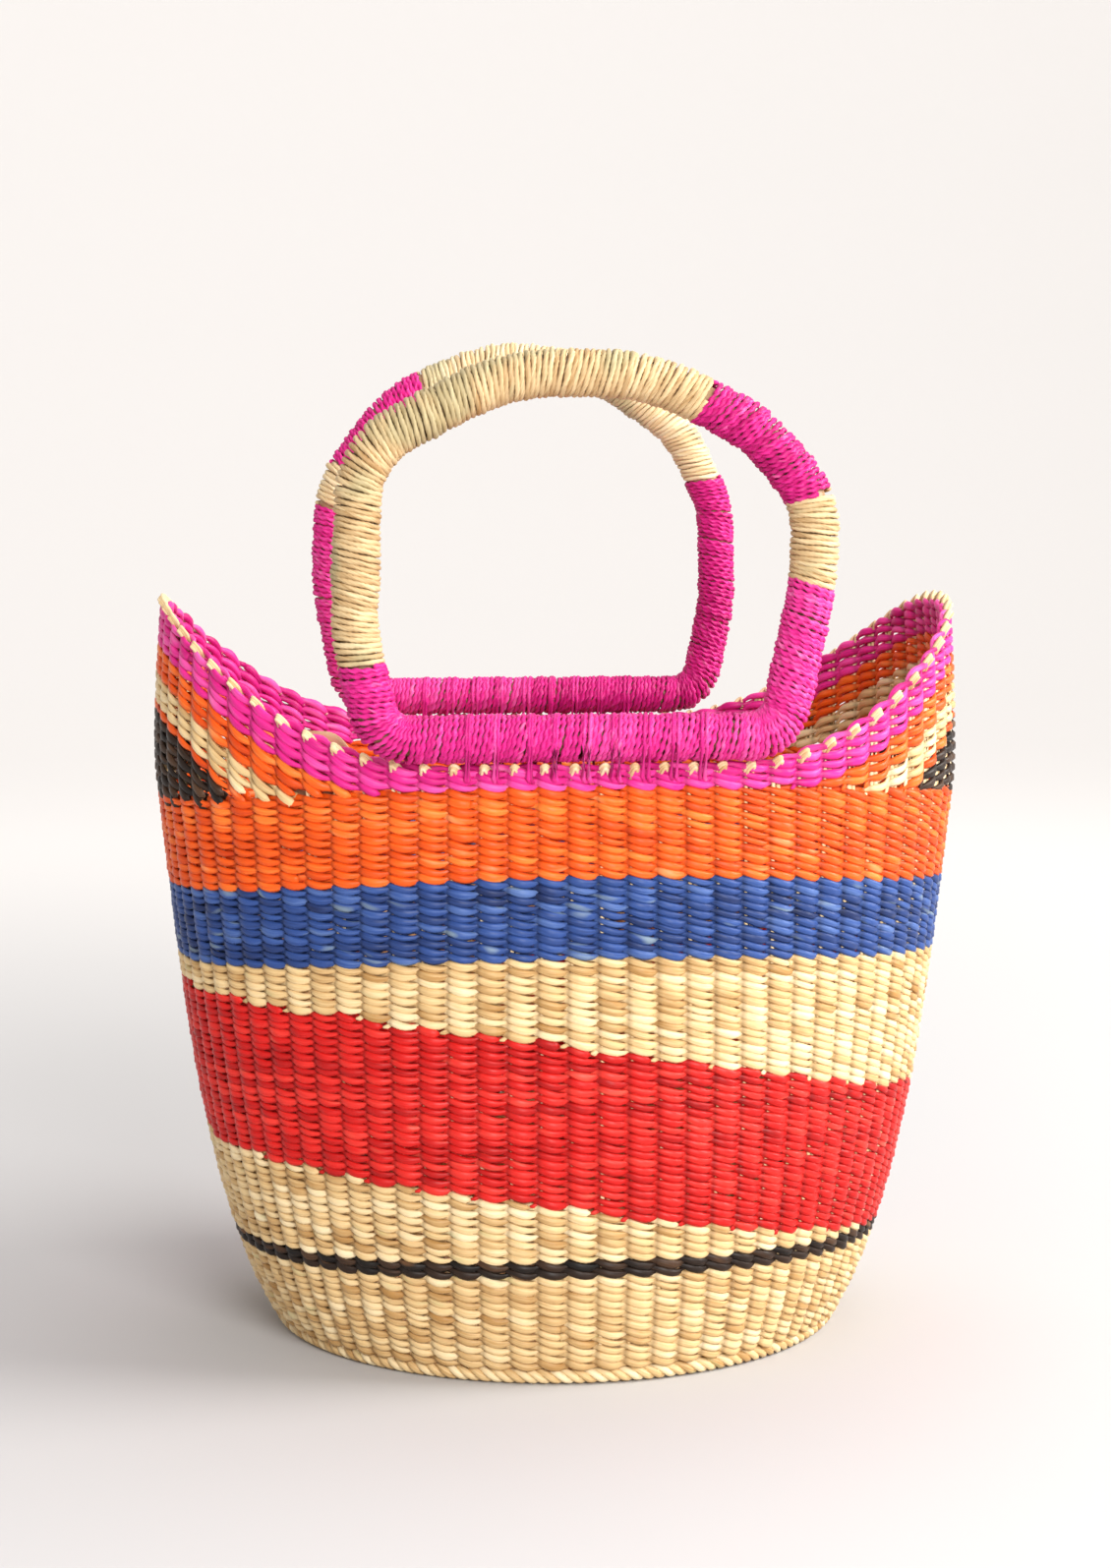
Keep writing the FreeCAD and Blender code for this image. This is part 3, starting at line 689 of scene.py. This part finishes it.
# ---- handles
# bends are X, height above the bar and bending radius, from the bar's left end round to its right
handles = {
    "front": {
        "side": -1, "wrapRadius": 0.0091,
        "bends": [(-0.078, 0.0, 0.014), (-0.087, 0.040, 0.080), (-0.0845, 0.106, 0.030),
                  (-0.030, 0.1345, 0.080), (0.022, 0.134, 0.080), (0.062, 0.1145, 0.060),
                  (0.0845, 0.088, 0.030), (0.0842, 0.058, 0.120),
                  (0.072, 0.0, 0.014)],
        "runs": [("lower_pink", 0.190, "pink"), ("natural", 0.589, "handleNatural"),
                 ("upper_pink", 0.691, "pink"),
                 ("short_natural", 0.753, "handleNatural"), ("leg_pink", 1.0, "pink")],
    },
    "back": {
        "side": 1, "wrapRadius": 0.0082,
        "bends": [(-0.078, 0.0, 0.014), (-0.0875, 0.050, 0.080), (-0.0855, 0.092, 0.040),
                  (-0.0585, 0.130, 0.060), (-0.014, 0.149, 0.070), (0.030, 0.1435, 0.080),
                  (0.068, 0.117, 0.040), (0.084, 0.084, 0.040),
                  (0.085, 0.042, 0.080), (0.0765, 0.0, 0.014)],
        "runs": [("lower_pink", 0.290, "pink"), ("short_natural", 0.320, "handleNatural"),
                 ("upper_pink", 0.414, "pink"), ("natural", 0.685, "handleNatural"),
                 ("leg_pink", 1.0, "pink")],
    },
}
coils = {   # dyed coils are two-ply cord, natural ones are flatter straw
    "pink": {
        "radius": 0.00112, "squash": 0.30, "lay": 0.0085, "pitch": 0.00186, "lean": 0.0016, "steps": 48,
    },
    "handleNatural": {
        "radius": 0.00118, "squash": 0.16, "lay": 0.019, "pitch": 0.00204, "lean": 0.0012, "steps": 24,
    },
}
wrap = {"jitter": 0.00026, "barGap": 0.0016, "profileSides": 8}


def barPlace(handle):
    y = handle["side"] * (wall["mouthHalfDepth"] - wall["middleInset"] - 0.0015)
    return y, wall["bodyHeight"] + wall["rimLift"] + wrap["barGap"] + handle["wrapRadius"]


def barMiddle(handle):
    return 0.5 * (handle["bends"][0][0] + handle["bends"][-1][0])


def hoopLine(handle):
    # the hoop's middle line in its own plane, as (x, height above the bar)
    # it is closed and starts at the middle of the bar
    corners = handle["bends"]
    middle = np.array([barMiddle(handle), 0.0])
    spots = [middle] + [np.array(corner[:2]) for corner in corners] + [middle]
    line = [middle]
    for before, corner, after, (x, up, radius) in zip(spots, spots[1:], spots[2:], corners):
        back = (before - corner) / np.linalg.norm(before - corner)
        ahead = (after - corner) / np.linalg.norm(after - corner)
        halfAngle = 0.5 * math.acos(float(back @ ahead))
        reach = radius / math.tan(halfAngle)
        inward = (back + ahead) / np.linalg.norm(back + ahead)
        centre = corner + inward * radius / math.sin(halfAngle)
        first = corner + back * reach - centre
        last = corner + ahead * reach - centre
        sweep = math.pi - 2.0 * halfAngle
        steps = max(int(sweep / 0.05), 4)
        straight = np.linspace(line[-1], centre + first, 12)[1:-1]
        line.extend(straight)
        for step in range(steps + 1):
            share = step / steps
            blend = first * math.sin((1.0 - share) * sweep) + last * math.sin(share * sweep)
            line.append(centre + blend / math.sin(sweep))
    line.extend(np.linspace(line[-1], middle, 12)[1:])
    line = np.array(line)
    length = np.concatenate([[0.0], np.cumsum(np.linalg.norm(np.diff(line, axis=0), axis=1))])
    even = np.linspace(0.0, length[-1], 1600)
    evenX = np.interp(even, length, line[:, 0])
    evenUp = np.interp(even, length, line[:, 1])
    return even, np.stack([evenX, evenUp], axis=-1)


def coilRun(handle, start, end, coil):
    # one long cord wound round the hoop from length start to end
    lengths, line = hoopLine(handle)
    total = lengths[-1]
    y, z = barPlace(handle)
    turns = (end - start) / coil["pitch"]
    count = int(turns * coil["steps"])
    step = np.arange(count) / coil["steps"]
    angle = tau * step
    knobs = dice.normal(0.0, 1.0, (3, int(turns) + 3))
    spots = np.arange(knobs.shape[1])
    wander = wrap["jitter"] * np.interp(step, spots, knobs[0])
    slope = coil["lean"] * (1.0 + 0.35 * np.interp(step / 3.0, spots, knobs[1]))
    way = start + (end - start) * np.arange(count) / count + slope * np.cos(angle) + wander
    low = start - 0.0006 if start > 0.0 else -total
    high = end + 0.0006 if end < total else 2.0 * total
    way = np.clip(way, low, high)

    def along(column, offset):
        return np.interp(np.mod(way + offset, total), lengths, line[:, column])

    tangentX = along(0, 0.0006) - along(0, -0.0006)
    tangentZ = along(1, 0.0006) - along(1, -0.0006)
    size = np.hypot(tangentX, tangentZ)
    reach = handle["wrapRadius"] - coil["radius"] + 0.00022 * np.interp(step, spots, knobs[2])
    points = np.stack([along(0, 0.0) - reach * np.cos(angle) * tangentZ / size, y + reach * np.sin(angle),
                       z + along(1, 0.0) + reach * np.cos(angle) * tangentX / size], axis=-1)
    factors = np.clip(1.0 + 0.08 * np.interp(step, spots, knobs[0]), 0.8, 1.2)
    return points, factors, np.zeros(count)


def lashRuns(handle):
    # loops through the gaps between stakes, round the bar and through the weave
    y, z = barPlace(handle)
    middle = barMiddle(handle)
    bigRadius = handle["wrapRadius"] - 0.0004
    smallRadius = 0.0034
    crossing = wall["bodyHeight"] + wall["rimLift"] - 0.0056
    runs = []
    for gap in range(wall["stakes"]):
        low = wallPoints(np.array([float(gap)]), np.array([crossing]), wall["middleInset"])[0]
        if low[1] * handle["side"] < 0.0 or abs(low[0] - middle) > 0.052:
            continue
        for twin in (-0.0011, 0.0007):
            angle = np.linspace(0.0, tau, 40, endpoint=False)
            facing = np.stack([np.cos(angle), np.sin(angle)], axis=-1)
            topMiddle = np.array([y, z])
            lowMiddle = np.array([low[1], crossing + smallRadius])
            topReach = facing @ topMiddle + bigRadius
            lowReach = facing @ lowMiddle + smallRadius
            onTop = (topReach > lowReach)[:, None]
            loop = np.where(onTop, topMiddle + facing * bigRadius, lowMiddle + facing * smallRadius)
            lean = 0.0016 * np.cos(angle) + dice.normal(0.0, 0.0006)
            loopPoints = np.stack([low[0] + twin + lean, loop[:, 0], loop[:, 1]], axis=-1)
            runs.append((loopPoints, np.ones(len(angle)), np.zeros(len(angle))))
    return runs


coilProfiles = {}
for tone, coil in coils.items():
    wide = coil["radius"] * (1.0 + 0.5 * coil["squash"])
    narrow = coil["radius"] * (1.0 - coil["squash"])
    coilProfiles[tone] = ellipseProfile(tone + "_coil_profile", wide, narrow, wrap["profileSides"])
lashProfile = ellipseProfile("lash_profile", 0.00095, 0.00080, 6)
for handleName, handle in handles.items():
    total = hoopLine(handle)[0][-1]
    startShare = 0.0
    for label, endShare, tone in handle["runs"]:
        runs = [coilRun(handle, total * startShare, total * endShare, coils[tone])]
        strandPiece(f"{handleName}_coils_{label}", runs, coilProfiles[tone], grass[tone], f"{handleName}_handle",
                    [f"{handleName}_wrap_{label}"], lay=coils[tone]["lay"])
        startShare = endShare
    strandPiece(f"{handleName}_lashing_loops", lashRuns(handle), lashProfile, grass["pink"], "basket",
                [f"{handleName}_lashings"], closed=True, lay=0.0085)
print("handles and lashings made")

plainProfiles = [rowProfile, baseProfile, ropeProfile, stickProfile, knotProfile, lashProfile]
for profile in plainProfiles + list(coilProfiles.values()):
    bpy.data.objects.remove(profile)

# ---- leather tab
tab = {"left": -0.112, "right": -0.087, "low": 0.214, "top": 0.2485, "inset": 0.0072, "thickness": 0.0014}


def leatherMaterial():
    material = bpy.data.materials.new("tanLeather")
    material.use_nodes = True
    tree = material.node_tree
    shader = tree.nodes["Principled BSDF"]
    where = tree.nodes.new("ShaderNodeTexCoord")
    grain = tree.nodes.new("ShaderNodeTexVoronoi")
    grain.inputs["Scale"].default_value = 1400.0
    cloud = tree.nodes.new("ShaderNodeTexNoise")
    cloud.inputs["Scale"].default_value = 60.0
    cloud.inputs["Detail"].default_value = 4.0
    mix = tree.nodes.new("ShaderNodeMix")
    mix.data_type = "RGBA"
    mix.inputs["A"].default_value = (0.50, 0.27, 0.13, 1.0)
    mix.inputs["B"].default_value = (0.74, 0.47, 0.29, 1.0)
    bump = tree.nodes.new("ShaderNodeBump")
    bump.inputs["Strength"].default_value = 0.2
    bump.inputs["Distance"].default_value = 0.0003
    link = tree.links.new
    link(where.outputs["Object"], grain.inputs["Vector"])
    link(where.outputs["Object"], cloud.inputs["Vector"])
    link(cloud.outputs["Fac"], mix.inputs["Factor"])
    link(mix.outputs["Result"], shader.inputs["Base Color"])
    link(grain.outputs["Distance"], bump.inputs["Height"])
    link(bump.outputs["Normal"], shader.inputs["Normal"])
    shader.inputs["Roughness"].default_value = 0.5
    return material


def leatherTab():
    sheet = bmesh.new()
    bmesh.ops.create_grid(sheet, x_segments=16, y_segments=20, size=0.5)
    for vert in sheet.verts:
        across = vert.co.x + 0.5
        up = vert.co.y + 0.5
        x = tab["left"] + (tab["right"] - tab["left"]) * across
        crown = 1.0 - 0.24 * abs(2.0 * across - 1.0) ** 3
        height = tab["low"] + (tab["top"] - tab["low"]) * up * crown
        width, depth, square = halfAxes(np.array(height))
        inset = tab["inset"] + 0.0008 * up ** 2
        y = -(depth - inset) * (1.0 - (abs(x) / (width - inset)) ** square) ** (1.0 / square)
        vert.co = (x, y + 0.0004 * math.sin(9.0 * across), height)
    bmesh.ops.recalc_face_normals(sheet, faces=sheet.faces[:])
    bmesh.ops.solidify(sheet, geom=sheet.faces[:], thickness=-tab["thickness"])
    bmesh.ops.recalc_face_normals(sheet, faces=sheet.faces[:])
    mesh = bpy.data.meshes.new("leather_flap")
    sheet.to_mesh(mesh)
    sheet.free()
    piece = bpy.data.objects.new("leather_flap", mesh)
    bpy.context.scene.collection.objects.link(piece)
    for polygon in mesh.polygons:
        polygon.use_smooth = True
    mesh.materials.append(leatherMaterial())
    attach(piece, "basket")
    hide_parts("leather_tab")


leatherTab()


# ---- cane inside the handles
def caneMaterial():
    material = bpy.data.materials.new("bentCane")
    material.use_nodes = True
    tree = material.node_tree
    shader = tree.nodes["Principled BSDF"]
    where = tree.nodes.new("ShaderNodeTexCoord")
    stretch = tree.nodes.new("ShaderNodeMapping")
    stretch.inputs["Scale"].default_value = (60.0, 900.0, 60.0)
    noise = tree.nodes.new("ShaderNodeTexNoise")
    noise.inputs["Scale"].default_value = 1.0
    mix = tree.nodes.new("ShaderNodeMix")
    mix.data_type = "RGBA"
    mix.inputs["A"].default_value = (0.30, 0.16, 0.07, 1.0)
    mix.inputs["B"].default_value = (0.55, 0.36, 0.18, 1.0)
    link = tree.links.new
    link(where.outputs["Object"], stretch.inputs["Vector"])
    link(stretch.outputs["Vector"], noise.inputs["Vector"])
    link(noise.outputs["Fac"], mix.inputs["Factor"])
    link(mix.outputs["Result"], shader.inputs["Base Color"])
    link(noise.outputs["Fac"], shader.inputs["Roughness"])
    return material


cane = caneMaterial()
for handleName in handles:
    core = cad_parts[handleName + "_handle_core"]
    core.data.materials.clear()
    core.data.materials.append(cane)

# ---- floor, light and camera
studio = {"floorColour": (0.545, 0.535, 0.535), "glowColour": (0.485, 0.458, 0.432), "glowStart": 0.10,
          "glowEnd": 1.7, "sweepBack": 2.4, "reach": 6.0}


def plainMaterial(name, colour):
    material = bpy.data.materials.new(name)
    material.use_nodes = True
    shader = material.node_tree.nodes["Principled BSDF"]
    shader.inputs["Base Color"].default_value = (*colour, 1.0)
    shader.inputs["Roughness"].default_value = 0.9
    shader.inputs["Specular IOR Level"].default_value = 0.1
    return material


def sweepMaterial():
    # painted light: the backdrop glows a little with distance, as a lit wall does behind a floor
    material = plainMaterial("paleSweep", studio["floorColour"])
    tree = material.node_tree
    shader = tree.nodes["Principled BSDF"]
    where = tree.nodes.new("ShaderNodeTexCoord")
    away = tree.nodes.new("ShaderNodeVectorMath")
    away.operation = "LENGTH"
    rise = tree.nodes.new("ShaderNodeMapRange")
    rise.interpolation_type = "SMOOTHSTEP"
    rise.inputs["From Min"].default_value = studio["glowStart"]
    rise.inputs["From Max"].default_value = studio["glowEnd"]
    glow = tree.nodes.new("ShaderNodeMix")
    glow.data_type = "RGBA"
    glow.inputs["A"].default_value = (0.0, 0.0, 0.0, 1.0)
    glow.inputs["B"].default_value = (*studio["glowColour"], 1.0)
    link = tree.links.new
    link(where.outputs["Object"], away.inputs[0])
    link(away.outputs["Value"], rise.inputs["Value"])
    link(rise.outputs["Result"], glow.inputs["Factor"])
    link(glow.outputs["Result"], shader.inputs["Emission Color"])
    shader.inputs["Emission Strength"].default_value = 1.0
    return material


def studioSweep():
    sweep = bmesh.new()
    bmesh.ops.create_grid(sweep, x_segments=1, y_segments=40, size=studio["reach"])
    bend = studio["sweepBack"]
    radius = 1.2
    for vert in sweep.verts:
        way = vert.co.y - bend
        if way > 0.0:
            angle = min(way / radius, 0.5 * math.pi)
            beyond = max(way - 0.5 * math.pi * radius, 0.0)
            vert.co.y = bend + radius * math.sin(angle)
            vert.co.z = radius * (1.0 - math.cos(angle)) + beyond
    mesh = bpy.data.meshes.new("studio_sweep")
    sweep.to_mesh(mesh)
    sweep.free()
    for polygon in mesh.polygons:
        polygon.use_smooth = True
    mesh.materials.append(sweepMaterial())
    floor = bpy.data.objects.new("studio_sweep", mesh)
    bpy.context.scene.collection.objects.link(floor)


def areaLight(name, place, aim, size, power, colour):
    light = bpy.data.lights.new(name, "AREA")
    light.shape = "DISK"
    light.size = size
    light.energy = power
    light.color = colour
    lamp = bpy.data.objects.new(name, light)
    lamp.location = place
    lamp.rotation_euler = (Vector(aim) - Vector(place)).to_track_quat("-Z", "Y").to_euler()
    bpy.context.scene.collection.objects.link(lamp)


studioSweep()
# place, side in metres, watts, colour; all three look at the middle of the basket
lampTarget = (0.0, 0.0, 0.2)
lamps = {
    "window_key": ((1.35, -0.25, 0.95), 0.9, 30.0, (1.0, 0.985, 0.96)),
    "front_fill": ((0.45, -2.0, 1.0), 1.0, 38.0, (1.0, 0.99, 0.98)),
    "top_soft": ((0.2, 0.5, 1.9), 1.2, 9.0, (1.0, 1.0, 1.0)),
}
for lampName, (lampPlace, lampSide, watts, lampColour) in lamps.items():
    areaLight(lampName, lampPlace, lampTarget, lampSide, watts, lampColour)
world = bpy.data.worlds.new("studioAir")
world.use_nodes = True
air = {"colour": (0.97, 0.96, 0.95, 1.0), "strength": 0.60}
world.node_tree.nodes["Background"].inputs["Color"].default_value = air["colour"]
world.node_tree.nodes["Background"].inputs["Strength"].default_value = air["strength"]
bpy.context.scene.world = world

shot = {"azimuth": -6.5, "distance": 1.2, "height": 0.346, "pitch": -6.1, "lens": 67.7, "sensor": 36.0}
camera = bpy.data.cameras.new("shop_camera")
camera.sensor_fit = "VERTICAL"
camera.sensor_height = shot["sensor"]
camera.lens = shot["lens"]
camera.clip_start = 0.05
camera.clip_end = 50.0
eye = bpy.data.objects.new("shop_camera", camera)
turn = math.radians(shot["azimuth"])
eye.location = (shot["distance"] * math.sin(turn), -shot["distance"] * math.cos(turn), shot["height"])
eye.rotation_euler = (math.radians(90.0 + shot["pitch"]), 0.0, turn)
bpy.context.scene.collection.objects.link(eye)
bpy.context.scene.camera = eye
bpy.context.scene.view_settings.view_transform = "Standard"

print("studio set")
